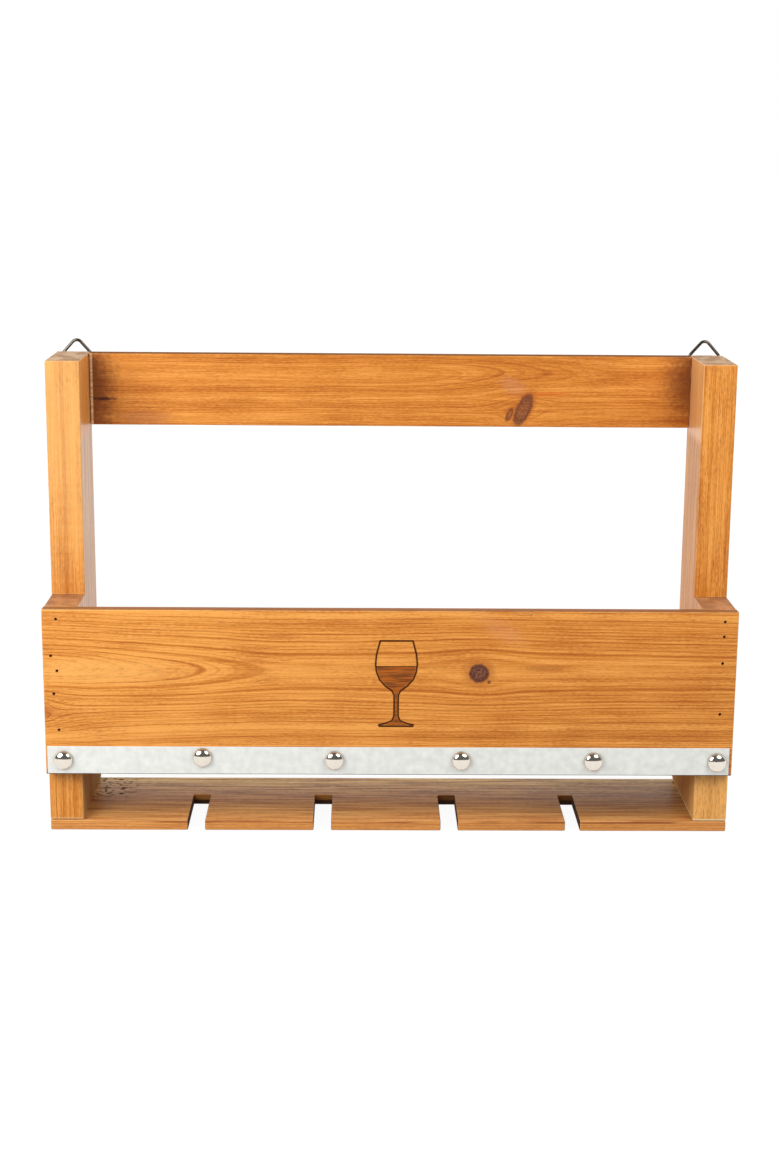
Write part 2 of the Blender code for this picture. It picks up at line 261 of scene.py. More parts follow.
class Finish:
    """The node tree of one material, or of the world."""

    def __init__(self, block):
        block.use_nodes = True
        self.block = block
        self.tree = block.node_tree
        self.tree.nodes.clear()

    def node(self, kind, settings=None, inputs=None, output=0):
        """Adds a node, with its settings first and then the values or links of its sockets."""
        made = self.tree.nodes.new(kind)
        for name, value in (settings or {}).items():
            setattr(made, name, value)
        for name, value in (inputs or {}).items():
            if isinstance(value, Signal):
                self.tree.links.new(value.socket, made.inputs[name])
            else:
                made.inputs[name].default_value = value
        return Signal(self, made.outputs[output])

    def parts(self, vector):
        split = self.node("ShaderNodeSeparateXYZ", inputs={0: vector})
        return [Signal(self, socket) for socket in split.socket.node.outputs]

    def place(self):
        """The point on the piece, in millimetres, as three signals."""
        return [part / MM for part in self.parts(self.node("ShaderNodeTexCoord", output="Object"))]

    def facing(self):
        """The way that the surface faces, as three signals from -1 to 1."""
        return self.parts(self.node("ShaderNodeTexCoord", output="Normal"))

    def noise(self, x, y, z, detail=2.0):
        point = self.node("ShaderNodeCombineXYZ", inputs={0: x, 1: y, 2: z})
        return self.node("ShaderNodeTexNoise", inputs={"Vector": point, "Scale": 1.0, "Detail": detail})

    def line_noise(self, value, detail):
        inputs = {"W": value, "Scale": 1.0, "Detail": detail}
        return self.node("ShaderNodeTexNoise", {"noise_dimensions": "1D"}, inputs)

    def pick(self, value):
        """A random number, 0 to 1, that stays the same for the same value."""
        return self.node("ShaderNodeTexWhiteNoise", {"noise_dimensions": "1D"}, {"W": value})

    def mix(self, factor, first, second):
        """The first colour where the factor is 0, and the second where it is 1."""
        colours = [value if isinstance(value, Signal) else (*value, 1.0) for value in (first, second)]
        inputs = {0: factor, 6: colours[0], 7: colours[1]}
        return self.node("ShaderNodeMix", {"data_type": "RGBA"}, inputs, output=2)

    def painted(self, colour, *coats):
        """The colour under one coat after another, each a weight and a colour."""
        for weight, coat in coats:
            colour = self.mix(weight, colour, coat)
        return colour

    def attribute(self, name):
        return self.node("ShaderNodeAttribute", {"attribute_name": name}, output="Fac")

    def bump(self, height, distance):
        return self.node("ShaderNodeBump", inputs={"Height": height, "Distance": distance})

    def diffuse(self, colour):
        return self.node("ShaderNodeBsdfDiffuse", inputs={"Color": (*colour, 1.0)})

    def surface(self, inputs):
        """Ends the tree in a Principled shader and gives the material."""
        self.end("ShaderNodeOutputMaterial", self.node("ShaderNodeBsdfPrincipled", inputs=inputs))
        return self.block

    def end(self, kind, shader):
        out = self.tree.nodes.new(kind)
        self.tree.links.new(shader.socket, out.inputs["Surface"])


# Pine


@dataclass
class Knot:
    """A knot on a board's face: its place, half sizes and tilt, how far the grain bends round it, how far
    its halo reaches, and how dark it is."""

    along: float
    across: float
    half_along: float
    half_across: float
    tilt: float = 0.0
    flow: float = 8.0
    halo: float = 2.2
    strength: float = 1.0


@dataclass
class StainOrShadow:
    """A soft patch of another colour, over an oval of the board's face. Most are patches of stained wood;
    some are painted shadows.
    """

    along: float
    across: float
    half_along: float
    half_across: float
    colour: tuple
    weight: float
    tilt: float = 0.0


@dataclass
class Cut:
    """How a board was sawn from the trunk, in millimetres. The rings run round a line, the heart, that
    lies along the board; each rise moves it further from the face between two places, and each darkening
    adds to the wood's darkness from one place to the next."""

    axes: tuple
    heart: tuple
    seed: float
    rises: tuple = ()
    darkenings: tuple = ()
    ring_width: float = 2.0
    lines: float = 0.5
    bands: float = 0.6
    speckle: float = 1.0
    shade: float = 0.25
    knots: tuple = ()
    stains_and_shadows: tuple = ()
    gloss: float = 1.0
    polish: float = 0.0


def bent_round(knot, along, across):
    """The way across the board, as if the grain flowed past a post where the knot is."""
    run = (along - knot.along) * 0.55
    rise = across - knot.across
    pull = knot.flow**2 / (run * run + rise * rise + knot.flow**2 * 0.6)
    return rise * pull


def oval_reach(finish, oval, along, across, seed, ragged):
    """How far a point is from an oval's middle, as a share of its half size, with a ragged edge."""
    run = along - oval.along
    rise = across - oval.across
    cosine, sine = math.cos(oval.tilt), math.sin(oval.tilt)
    long_way = (run * cosine + rise * sine) / oval.half_along
    short_way = (rise * cosine - run * sine) / oval.half_across
    rough = finish.noise(along / 3, across / 3, seed) - 0.5
    return (long_way * long_way + short_way * short_way).root() + rough * ragged


def with_knot(finish, settings, knot, along, across, seed, colour):
    """Draws a knot: a dark ragged rim round mottled wood, in a halo of darker grain."""
    reach = oval_reach(finish, knot, along, across, seed, 0.35)
    halo = 1 - reach.rise(0.8, knot.halo)
    core = 1 - reach.rise(0.84, 1.14)
    rim = reach.rise(0.4, 0.86) * (1 - reach.rise(0.95, 1.2))
    mottle = finish.noise(along / 1.3, across / 1.3, seed, 3.0)
    inner = finish.mix(mottle.rise(0.4, 0.62), settings.knot_rim, settings.knot_wood)
    return finish.painted(
        colour,
        (halo * 0.55, settings.late_wood),
        (core * 0.88 * knot.strength, inner),
        (rim * 0.6 * knot.strength, settings.knot_rim),
    )


def pine(name, cut, dress=None):
    """Growth rings round the heart, bent round the knots, with bands, fibre, flecks, stained patches and
    painted shadows.
    """
    settings = bpy.context.scene.rack_pine
    finish = Finish(bpy.data.materials.new("honey pine " + name))
    place = finish.place()
    facing = finish.facing()
    along, across, depth = (place[axis] for axis in cut.axes)

    def grain(length, width, detail=2.0):
        return finish.noise(along / length, across / width, depth / width + cut.seed, detail) - 0.5

    bent = across + grain(90, 26, 1.0) * grain_warp + grain(20, 5, 1.0) * 0.8
    for knot in cut.knots:
        bent = bent - bent_round(knot, along, across)
    sideways = bent - cut.heart[0]
    away = cut.heart[1] - depth
    for start, end, rise in cut.rises:
        away = away + along.rise(start, end) * rise
    radius = (sideways * sideways + away * away).root()

    # Each ring darkens slowly to its late wood, and ends sharply
    uneven = finish.line_noise(radius / 8 + cut.seed, 1.0) - 0.5
    ring = radius / cut.ring_width + uneven * 4.0
    share = ring.fraction()
    strength = finish.pick(ring.floor() + cut.seed) * 0.8 + 0.2
    broad_line = share.rise(0.3, 0.9) * 0.3 + share.rise(0.72, 0.88) * 0.7
    thin_share = (ring * 2.3 + 0.4).fraction()
    thin_line = thin_share.rise(0.55, 0.8) * (1 - thin_share.rise(0.85, 1.0))
    late = broad_line * (1 - share.rise(0.92, 1.0)) * strength + thin_line * (1 - strength * 0.6) * 0.5
    band = finish.line_noise(radius / 6 + 2 * cut.seed, 1.0) - 0.5

    fibre = grain(30, 0.6)
    fleck = grain(3.0, 0.65)
    streak = grain(120, 3.5)
    blotch = grain(50, 22)
    dash = grain(8, 0.5, 0.0).rise(0.17, 0.30)

    tone = late * cut.lines + band * cut.bands + cut.shade
    tone = tone + fibre + fleck * 0.5 + streak * 0.4 + blotch * 0.3
    for start, end, change in cut.darkenings:
        tone = tone + along.rise(start, end) * change
    colour = finish.painted(
        settings.early_wood,
        ((tone * 2).clamped(), settings.mid_wood),
        ((tone * 2 - 1).clamped(), settings.late_wood),
    )
    # Soft patches of stained wood, and on the rail patches of painted shadow
    for stain_or_shadow in cut.stains_and_shadows:
        reach = oval_reach(finish, stain_or_shadow, along, across, cut.seed, 0.6)
        colour = finish.mix((1 - reach.rise(0.3, 1.0)) * stain_or_shadow.weight, colour, stain_or_shadow.colour)
    grime = (fleck * 0.8 + dash * 0.4 + streak * 0.8 + blotch * 0.8).clamped() * cut.speckle
    colour = finish.mix(grime, colour, settings.late_wood)
    for knot in cut.knots:
        colour = with_knot(finish, settings, knot, along, across, cut.seed, colour)

    planed = abs(facing[cut.axes[2]]).rise(0.6, 0.9)
    end_face = abs(facing[cut.axes[0]]).rise(0.6, 0.9)
    sawn = finish.mix((late + band + 0.2 + fleck).clamped() * 0.55, settings.end_grain, settings.mid_wood)
    # The eased edges: paler where sanded, and a painted highlight along them
    rubbed_and_lit = finish.noise(place[X] / 9, place[Y] / 9, place[Z] / 9).rise(0.35, 0.6)
    colour = finish.painted(
        colour,
        (end_face * 0.9, sawn),
        (finish.attribute("arris") * (rubbed_and_lit * 0.35 + 0.1), settings.lit_edge),
    )
    dull = end_face * 0.4
    if dress:
        colour, dull = dress(finish, place, facing, colour)
    # Painted shade in the pits over the sunk brads
    pit = finish.attribute("pit")
    dull = (dull + pit).clamped()

    return finish.surface({
        "Base Color": finish.mix(pit, colour, settings.pit),
        "Roughness": 0.46 + fibre * 0.2 + dull * 0.6,
        "IOR": 1.0 + 0.32 * cut.gloss,
        "Coat Weight": (settings.varnish * cut.gloss + planed * cut.polish) * (1 - dull),
        "Coat Roughness": 0.25,
        "Normal": finish.bump(fibre * 0.6 + late * 0.4 - dash * 0.5, 0.07 * MM),
    })


def metal(setting, name, roughness, mottle_size, mottle_depth, scratch=0.1, metallic=1.0, edge=mid_grey):
    """Bare metal in one of the set colours, with a cloudy mottle, fine scratches, uneven gloss, and its
    edges in another colour: a painted highlight along the strip's edges, and painted shade round the
    nails' rims."""
    colour = getattr(bpy.context.scene.rack_metal, setting)
    finish = Finish(bpy.data.materials.new(name))
    x, y, z = finish.place()
    mottle = finish.noise(x / mottle_size, y / mottle_size, z / mottle_size, 3.0) - 0.5
    grit = finish.noise(x / 0.6, y / 0.6, z / 0.6) - 0.5
    dull = tuple(channel * (1 - mottle_depth) for channel in colour)
    shade = (mottle * 2.4 + 0.5).clamped()
    return finish.surface({
        "Base Color": finish.painted(colour, (shade, dull), (finish.attribute("edge"), edge)),
        "Metallic": metallic,
        "Roughness": roughness + mottle * scratch + grit * scratch * 0.5,
        "Normal": finish.bump(grit + mottle, 0.01 * MM),
    })


# Meshes


def signed_volume(points, faces):
    """Six times the volume between the faces and the origin, which is positive if they face outward."""
    corners = points[faces]
    fans = [np.cross(corners[:, turn], corners[:, turn + 1]) for turn in range(1, faces.shape[1] - 1)]
    return sum(np.einsum("ij,ij->", corners[:, 0], fan) for fan in fans)


def add_piece(node, body, points, faces, material, marks=None):
    """Makes the finished piece that replaces a node, smooth shaded, with its marks as attributes."""
    mesh = bpy.data.meshes.new(node + "_finished")
    mesh.from_pydata(points.tolist(), [], faces)
    mesh.shade_smooth()
    for name, values in (marks or {}).items():
        mesh.attributes.new(name, "FLOAT", "POINT").data.foreach_set("value", values.astype(np.float32))
    mesh.materials.append(material)
    mesh.validate()
    piece = bpy.data.objects.new(mesh.name, mesh)
    bpy.context.scene.collection.objects.link(piece)
    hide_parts(node)
    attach(piece, body)


def skin(rings, tips=None):
    """Points and faces of a surface over a grid of rings. Without tips the last ring meets the first, and
    with them a fan to each tip closes the ends."""
    count, sides = rings.shape[:2]
    index = np.arange(count * sides).reshape(count, sides)
    points = rings.reshape(-1, 3)
    rows = np.vstack([index, index[:1]]) if tips is None else index
    here, there = rows[:-1], rows[1:]
    quads = np.stack([here, np.roll(here, -1, 1), np.roll(there, -1, 1), there], axis=-1).reshape(-1, 4)
    kinds = [quads]
    if tips is not None:
        points = np.vstack([points, tips])
        start = np.stack([np.roll(index[0], -1), index[0], np.full(sides, count * sides)], axis=-1)
        end = np.stack([index[-1], np.roll(index[-1], -1), np.full(sides, count * sides + 1)], axis=-1)
        kinds.append(np.vstack([start, end]))
    turn = 1 if sum(signed_volume(points, faces) for faces in kinds) > 0 else -1
    return points, [face for faces in kinds for face in faces[:, ::turn].tolist()]


def turned(profile, sides):
    """A profile of (radius, height) points, both ends on the axis, turned round Z: at each height a ring of
    (radius cos turn, radius sin turn, height)."""
    turn = np.arange(sides) * (math.tau / sides)
    radius, height = np.array(profile[1:-1]).T
    rings = np.stack([
        np.outer(radius, np.cos(turn)),
        np.outer(radius, np.sin(turn)),
        np.repeat(height[:, None], sides, axis=1),
    ], axis=-1)
    return rings, np.array([(0, 0, profile[0][1]), (0, 0, profile[-1][1])])


def placed(points, place, direction):
    """Turns +Z into the direction and moves the points to a place."""
    turn = np.array(Vector(direction).to_track_quat("Z", "Y").to_matrix())
    return points @ turn.T + place


def closed_tube(path, radius, sides):
    """Round wire on a closed path of (x, z) points: path + radius (cos turn normal + sin turn Y)."""
    tangent = np.roll(path, -1, axis=0) - np.roll(path, 1, axis=0)
    tangent /= np.linalg.norm(tangent, axis=1, keepdims=True)
    normal = np.stack([tangent[:, 1], 0 * tangent[:, 0], -tangent[:, 0]], axis=-1)
    middle = np.stack([path[:, 0], 0 * path[:, 0], path[:, 1]], axis=-1)
    turn = np.arange(sides) * (math.tau / sides)
    sideways = np.array([0.0, 1.0, 0.0])
    spokes = np.cos(turn)[None, :, None] * normal[:, None, :] + np.sin(turn)[None, :, None] * sideways
    return middle[:, None, :] + radius * spokes


# Boards


def even_lines(start, end, pitch):
    return np.linspace(start, end, max(1, round((end - start) / pitch)) + 1)


def grid_lines(stops, radius, pitch, fine=()):
    """The places of the grid's planes along one axis: the stops, planes that close up to each of them,
    even planes between, and the fine stretches (start, end, pitch)."""
    fixed = set()
    loose = []
    for start, end in zip(stops, stops[1:]):
        fixed.update((start, end))
        for share in edge_line_shares:
            if share * radius < (end - start) / 2:
                fixed.update((start + share * radius, end - share * radius))
        loose.extend(even_lines(start, end, pitch))
    for start, end, step in fine:
        loose.extend(even_lines(start, end, step))
    fixed = np.array(sorted(fixed))
    loose = np.array([place for place in loose if stops[0] < place < stops[-1]])
    if len(loose):
        loose = loose[np.abs(loose[:, None] - fixed[None, :]).min(axis=1) > least_line_gap]
    lines = np.unique(np.concatenate([fixed, loose]))
    keep = np.concatenate([[True], np.diff(lines) > least_line_gap / 4])
    return lines[keep]


# A quad's corners, as steps along the two axes of its plane, for either way that it can face
rising_corners = ((0, 0), (0, 1), (1, 1), (1, 0))
falling_corners = ((0, 0), (1, 0), (1, 1), (0, 1))


def block_surface(boxes, lines):
    """The outside of the grid cells that lie in any of the boxes: a quad wherever a filled cell meets an
    empty one, turned to face the empty one."""
    middles = np.meshgrid(*[(line[:-1] + line[1:]) / 2 for line in lines], indexing="ij")
    filled = np.zeros(middles[0].shape, bool)
    for low, high in boxes:
        inside = [(middle > low[axis]) & (middle < high[axis]) for axis, middle in enumerate(middles)]
        filled |= inside[0] & inside[1] & inside[2]
    padded = np.pad(filled, 1).astype(int)
    shape = tuple(len(line) for line in lines)
    quads = []
    for axis in range(3):
        second, third = (axis + 1) % 3, (axis + 2) % 3
        turned_cells = padded.transpose(axis, second, third)[:, 1:-1, 1:-1]
        step = np.diff(turned_cells, axis=0)
        for sign, corners in ((-1, falling_corners), (1, rising_corners)):
            plane, row, column = np.nonzero(step == sign)
            quad = []
            for down, over in corners:
                index = [None, None, None]
                index[axis], index[second], index[third] = plane, row + down, column + over
                quad.append(np.ravel_multi_index(index, shape))
            quads.append(np.stack(quad, axis=-1))
    quads = np.concatenate(quads)
    used, faces = np.unique(quads, return_inverse=True)
    index = np.unravel_index(used, shape)
    points = np.stack([line[i] for line, i in zip(lines, index)], axis=-1)
    return points, faces.reshape(-1, 4)


def waves(points, seed):
    """Slow waves, 0 to 1: the mean of three sines of different lengths and directions."""
    x, y, z = (points / MM).T
    total = np.sin(x / 17 + y / 29 + seed) + np.sin(x / 31 - z / 13 + 2 * seed)
    total = total + np.sin(y / 11 + z / 23 - x / 41 + 3 * seed)
    return (total + 3) / 6


def eased(points, boxes, radius, wear):
    """Rounds the boxes' edges: each point moves to the edge radius, less its wear, from the nearest point
    of the boxes shrunk by that radius. Gives the points, and how near each is to an edge."""
    best = None
    for low, high in boxes:
        inner = np.clip(points, np.array(low) + radius, np.array(high) - radius)
        distance = np.linalg.norm(points - inner, axis=1)
        if best is None:
            best, least = inner, distance
        else:
            nearer = distance < least - 1e-9
            best = np.where(nearer[:, None], inner, best)
            least = np.where(nearer, distance, least)
    way = (points - best) / np.maximum(least, 1e-9)[:, None]
    arris = np.clip((1 - np.abs(way).max(axis=1)) / edge_lean, 0, 1)
    return best + way * (radius - wear)[:, None], arris


def smooth_step(values, start, end):
    share = np.clip((values - start) / (end - start), 0, 1)
    return share * share * (3 - 2 * share)


@dataclass
class Pit:
    """The hole that a sunk brad leaves: its place on the face, and the way in."""

    place: np.ndarray
    way: tuple


def sink_pits(points, pits):
    """Pushes each pit's floor in, with a sloped round wall. Gives the points, and where the pits are."""
    dark = np.zeros(len(points))
    for pit in pits:
        way = np.array(pit.way)
        from_place = points - pit.place
        into = from_place @ way
        spread = np.linalg.norm(from_place - into[:, None] * way, axis=1)
        share = 1 - smooth_step(spread, pit_radius * pit_floor_share, pit_radius)
        share = share * (np.abs(into) < pit_reach)
        points = points + (share * pit_depth)[:, None] * way
        dark = np.maximum(dark, share)
    return points, dark


def add_board(node, material, seed, boxes=(), pits=(), fine=((), (), ()), shape_extra=None):
    """A board as a union of boxes on one grid, eased, sanded and pitted. It is one box unless told."""
    settings = bpy.context.scene.rack_pine
    boxes = boxes or [box_of(node)]
    lines = []
    for axis in range(3):
        stops = sorted({corner[axis] for box in boxes for corner in box})
        near_pits = [
            (pit.place[axis] - pit_radius * 1.2, pit.place[axis] + pit_radius * 1.2, pit_radius / 3)
            for pit in pits
            if pit.way[axis] == 0
        ]
        lines.append(grid_lines(stops, settings.edge_radius, board_pitch, (*fine[axis], *near_pits)))
    points, faces = block_surface(boxes, lines)
    points, arris = eased(points, boxes, settings.edge_radius, settings.sanding_depth * waves(points, seed))
    points, dark = sink_pits(points, pits)
    marks = {"arris": arris, "pit": dark}
    if shape_extra:
        points, more = shape_extra(points)
        marks.update(more)
    add_piece(node, "frame", points, faces.tolist(), material, marks)


def box_of(node):
    low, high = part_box(node)
    return tuple(low), tuple(high)


def front_of(node):
    """Where a node's front face lies, in millimetres."""
    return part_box(node)[0].y / MM


def nodes_named(label):
    return [name for name in sorted(frame["nodes"]) if label in name]


def driven(name, way, head=0.0):
    """A nail or screw that is driven one way: the place under its head, its length from there, and half
    its width."""
    low, high = (np.array(corner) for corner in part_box(name))
    way = np.array(way)
    length = np.abs(way) @ (high - low)
    widths = (high - low)[way == 0]
    return (low + high) / 2 + way * (head - length / 2), length - head, widths.max() / 2


def brad_pits(label, way):
    """A pit over every brad of a group, at the face that the brads are driven through."""
    return [Pit(driven(name, way, -brad_sink)[0], way) for name in nodes_named(label)]


# The engraved figure: a stemmed glass, as (half width, height) shares of its height
glass_height = 57 * MM
glass_foot = (3.7 * MM, 74.6 * MM)
glass_fill_share = 0.70
glass_profile = (
    (0.0, 0.0), (0.19, 0.0), (0.195, 0.018), (0.12, 0.035), (0.045, 0.065), (0.024, 0.12), (0.022, 0.25),
    (0.024, 0.37), (0.05, 0.42), (0.12, 0.47), (0.19, 0.55), (0.225, 0.64), (0.235, 0.73), (0.225, 0.84),
    (0.20, 0.94), (0.185, 1.0), (0.0, 1.0),
)


def distance_to_outline(across, height, corners):
    """Signed distance to a closed outline: to the nearest edge, and negative inside, where a ray crosses
    an odd number of edges."""
    start = corners
    end = np.roll(corners, -1, axis=0)
    edge = end - start
    point = np.stack([across, height], axis=-1)[:, None, :]
    share = np.einsum("nmk,mk->nm", point - start, edge) / np.maximum((edge**2).sum(axis=1), 1e-18)
    nearest = start + np.clip(share, 0, 1)[..., None] * edge
    distance = np.linalg.norm(point - nearest, axis=-1).min(axis=1)
    above = (start[:, 1] > height[:, None]) != (end[:, 1] > height[:, None])
    slope = edge[:, 0] / np.where(edge[:, 1] == 0, 1e-12, edge[:, 1])
    crossing = start[:, 0] + (height[:, None] - start[:, 1]) * slope
    inside = (above & (across[:, None] < crossing)).sum(axis=1) % 2 == 1
    return np.where(inside, -distance, distance)


def engrave(points):
    """Sinks the stemmed glass into the front face, and gives each point's distance to its outline. A nick
    in the top edge is as deep as a bell curve of the distance to its place."""
    depth = bpy.context.scene.rack_pine.engraving_depth
    right = np.array(glass_profile) * glass_height
    left = right[::-1] * (-1, 1)
    corners = np.vstack([right, left[1:-1]]) + np.array(glass_foot)
    low, high = box_of("front_board")
    near = np.abs(points[:, Y] - low[Y]) < engraving_reach
    distance = np.full(len(points), 9 * MM)
    distance[near] = distance_to_outline(points[near, X], points[near, Z], corners)
    sunk = depth * smooth_step(-distance, -0.1 * MM, 0.35 * MM)
    points = points.copy()
    points[:, Y] += np.where(near, sunk, 0)
    nick = np.exp(-((points[:, X] - nick_place) / nick_half_width) ** 2)
    corner = near & (points[:, Z] > high[Z] - nick_reach)
    points[:, Z] -= np.where(corner, nick_depth * nick, 0)
    return points, {"figure": distance / MM}


def dress_front(finish, place, facing, colour):
    """The engraved glass's burnt lines and striped fill, the brown top, and painted shade along the bottom.
    """
    settings = bpy.context.scene.rack_pine
    x, y, z = place
    distance = finish.attribute("figure")
    level = (glass_foot[1] + glass_height * glass_fill_share) / MM
    outline = 1 - (abs(distance) - burnt_half_width).rise(0.0, 0.35)
    level_line = (1 - (abs(z - level) - 0.2).rise(0.0, 0.35)) * (1 - distance.rise(-0.3, 0.1))
    line = (outline + level_line).clamped()
    filled = (1 - distance.rise(-0.9, -0.5)) * (1 - z.rise(level - 0.3, level))
    stripe = finish.noise(x / 14, y, z / 1.1).rise(0.42, 0.6)
    upper = facing[Z].rise(0.6, 0.9)
    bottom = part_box("front_board")[0].z / MM
    # Painted shade along the board's bottom edge, just under the strip
    lower = 1 - z.rise(bottom + 0.8, bottom + 1.2)
    colour = finish.painted(
        colour,
        (filled * 0.9, finish.mix(stripe * 0.75, settings.burnt_fill, settings.burnt_line)),
        (line * 0.96, settings.burnt_line),
        # Painted shade along the bottom edge
        (lower, srgb(60, 34, 18)),
        (upper * 0.85, srgb(136, 82, 40)),
    )
    return colour, (upper * 0.5 + line + filled * 0.5 + lower).clamped()


class RACK_OT_front_board(bpy.types.Operator):
    """Dresses the front board, with its engraved glass, sunk brads and knot"""

    bl_idname = "rack.front_board"
    bl_label = "Front board"

    def execute(self, context):
        cut = Cut(
            axes=(X, Z, Y), heart=(111.0, front_of("front_board") + 2.0), seed=3.0,
            rises=((-250, -150, 8.0), (-170, -62, 6.5)), darkenings=((-190, -60, 0.07), (-30, 60, 0.08)),
            ring_width=2.3, lines=0.75, bands=0.4, shade=0.09,
            knots=(
                Knot(56.9, 110.3, 6.1, 5.8, flow=8.5, halo=2.3, strength=1.15),
                Knot(63.4, 104.4, 0.9, 0.9, flow=1.5),
                Knot(-230.0, 84.0, 6.0, 4.0, flow=10.0, halo=2.4),
            ),
            stains_and_shadows=(
                StainOrShadow(-190.0, 111.0, 80.0, 11.0, srgb(246, 176, 90), 0.8),
                StainOrShadow(-60.0, 110.0, 60.0, 8.0, srgb(240, 166, 78), 0.35),
                StainOrShadow(-224.0, 84.0, 16.0, 7.0, srgb(190, 96, 36), 0.45),
                StainOrShadow(71.0, 139.0, 22.0, 9.0, srgb(222, 146, 88), 0.45, tilt=-0.5),
                StainOrShadow(68.0, 112.5, 1.8, 8.0, srgb(236, 166, 84), 0.3, tilt=0.3),
                StainOrShadow(99.5, 114.0, 20.0, 3.0, srgb(150, 74, 22), 0.4),
            ),
        )
        middle, foot = glass_foot
        half_width = 0.25 * glass_height
        across = (
            (middle - half_width, middle + half_width, figure_pitch),
            (nick_place - 2 * nick_half_width, nick_place + 2 * nick_half_width, nick_pitch),
        )
        up = ((foot - 0.5 * MM, foot + glass_height + 0.5 * MM, figure_pitch),)
        pits = brad_pits("front_board_brad", (0, 1, 0))
        material = pine("front", cut, dress_front)
        add_board("front_board", material, 1.0, pits=pits, fine=(across, (), up), shape_extra=engrave)
        return {"FINISHED"}


def dress_side(finish, place, facing, colour):
    """The sawn ends of the side panels: greyish on top of the posts, browner at the trough. Below the
    rail the inner faces have a painted reflection, greyish and streaked, and above it the right post's
    inner face a painted highlight. Under the trough they have painted shade, and they are rough by the
    hanging glasses. The feet have a painted highlight, and the inside corner where each post rises from
    its shoulder a dark line of painted shade."""
    x, y, z = place
    upper = facing[Z].rise(0.6, 0.9)
    inner = (facing[X] * x / -200).rise(0.5, 0.8)
    on_right = x.rise(-1.0, 1.0)
    below_rail = 1 - z.rise(250.0, 258.0)
    below_trough = 1 - z.rise(38.0, 50.0)
    patch = finish.noise(x / 9, y / 14, z / 40).rise(0.35, 0.65)
    post_end = finish.mix(patch, srgb(160, 120, 84), srgb(212, 180, 146))
    shoulder = finish.mix(patch, srgb(150, 88, 40), srgb(196, 130, 70))
    streak = finish.noise(x, y / 1.5, z / 60, 3.0).rise(0.3, 0.7)
    # Painted reflection: pale streaked colour for the backdrop shining in the varnish below the rail
    grey_sheen = finish.mix(streak, srgb(132, 94, 50), srgb(236, 194, 132))
    # Painted shade under the trough
    under_trough_shade = finish.mix(on_right, srgb(142, 124, 84), srgb(181, 148, 92))
    low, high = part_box("left_side_panel")
    bottom = low.z / MM
    # Painted highlight along the feet
    foot = 1 - z.rise(bottom + 1.1, bottom + 1.7)
    post_front = (high.y - post_depth) / MM
    # Painted shade: a dark line in the inside corner where the post's front meets the shoulder's top
    joint = upper * y.rise(post_front - 1.2, post_front - 0.9) * (1 - y.rise(post_front, post_front + 0.3))
    colour = finish.painted(
        colour,
        # Painted reflection below the rail
        (inner * below_rail * (0.6 - on_right * 0.3), grey_sheen),
        # Painted highlight on the right post's inner face above the rail
        (inner * on_right * (1 - below_rail) * 0.5, srgb(250, 196, 134)),
        # Painted shade under the trough
        (inner * below_trough * 0.45, under_trough_shade),
        # Painted highlight along the feet
        (foot * (on_right * 0.6 + 0.3), srgb(255, 226, 176)),
        (upper * 0.75, finish.mix(z.rise(200.0, 260.0), shoulder, post_end)),
        # Painted shade in the inside corner
        (joint * 0.8, srgb(70, 38, 18)),
    )
    return colour, (upper * 0.6 + inner * below_trough + inner * on_right * below_rail * 0.3).clamped()


class RACK_OT_side_panels(bpy.types.Operator):
    """Dresses the two L-shaped side panels"""

    bl_idname = "rack.side_panels"
    bl_label = "Side panels"

    def execute(self, context):
        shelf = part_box("front_board")[1].z
        pale = StainOrShadow(330.0, -6.0, 240.0, 14.0, srgb(238, 184, 116), 0.45)
        warm = StainOrShadow(20.0, -39.0, 50.0, 25.0, srgb(255, 190, 106), 0.85)
        for side, sign, stain_or_shadow, shade, lines, speckle in (
            ("left", -1, pale, 0.17, 0.6, 0.7),
            ("right", 1, warm, 0.21, 0.35, 1.2),
        ):
            node = f"{side}_side_panel"
            low, high = box_of(node)
            lower = (low, (high[X], high[Y], shelf))
            post = ((low[X], high[Y] - post_depth, low[Z]), high)
            cut = Cut(
                axes=(Z, Y, X), heart=(8.0, sign * 170.0), seed=11.0 + sign, ring_width=2.6, lines=lines,
                shade=shade, speckle=speckle, stains_and_shadows=(stain_or_shadow,), polish=0.3,
            )
            pits = []
            for label in ("trough_floor", "back_rail", "lower_rail"):
                pits += brad_pits(f"{label}_brad_{side}", (-sign, 0, 0))
            material = pine(f"{side} side", cut, dress_side)
            add_board(node, material, 5.0 + sign, [lower, post], pits)
        return {"FINISHED"}


def dress_rail(finish, place, facing, colour):
    """The rail's dark rough upper edge, and a broken painted highlight along its left end."""
    upper = facing[Z].rise(0.3, 0.6)
    left_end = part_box("back_rail")[0].x / MM
    # Painted highlight: a pale broken line along the left end, where light catches the edge by the post
    highlight_breaks = finish.line_noise(place[Z] / 2.5, 2.0).rise(0.35, 0.65) * 0.4 + 0.5
    end = highlight_breaks * (1 - place[X].rise(left_end + 1.5, left_end + 2.3)) * (1 - upper)
    # The left end's pale line is a painted highlight
    colour = finish.painted(colour, (upper * 0.9, srgb(122, 72, 30)), (end, srgb(255, 226, 172)))
    return colour, (upper + end).clamped()


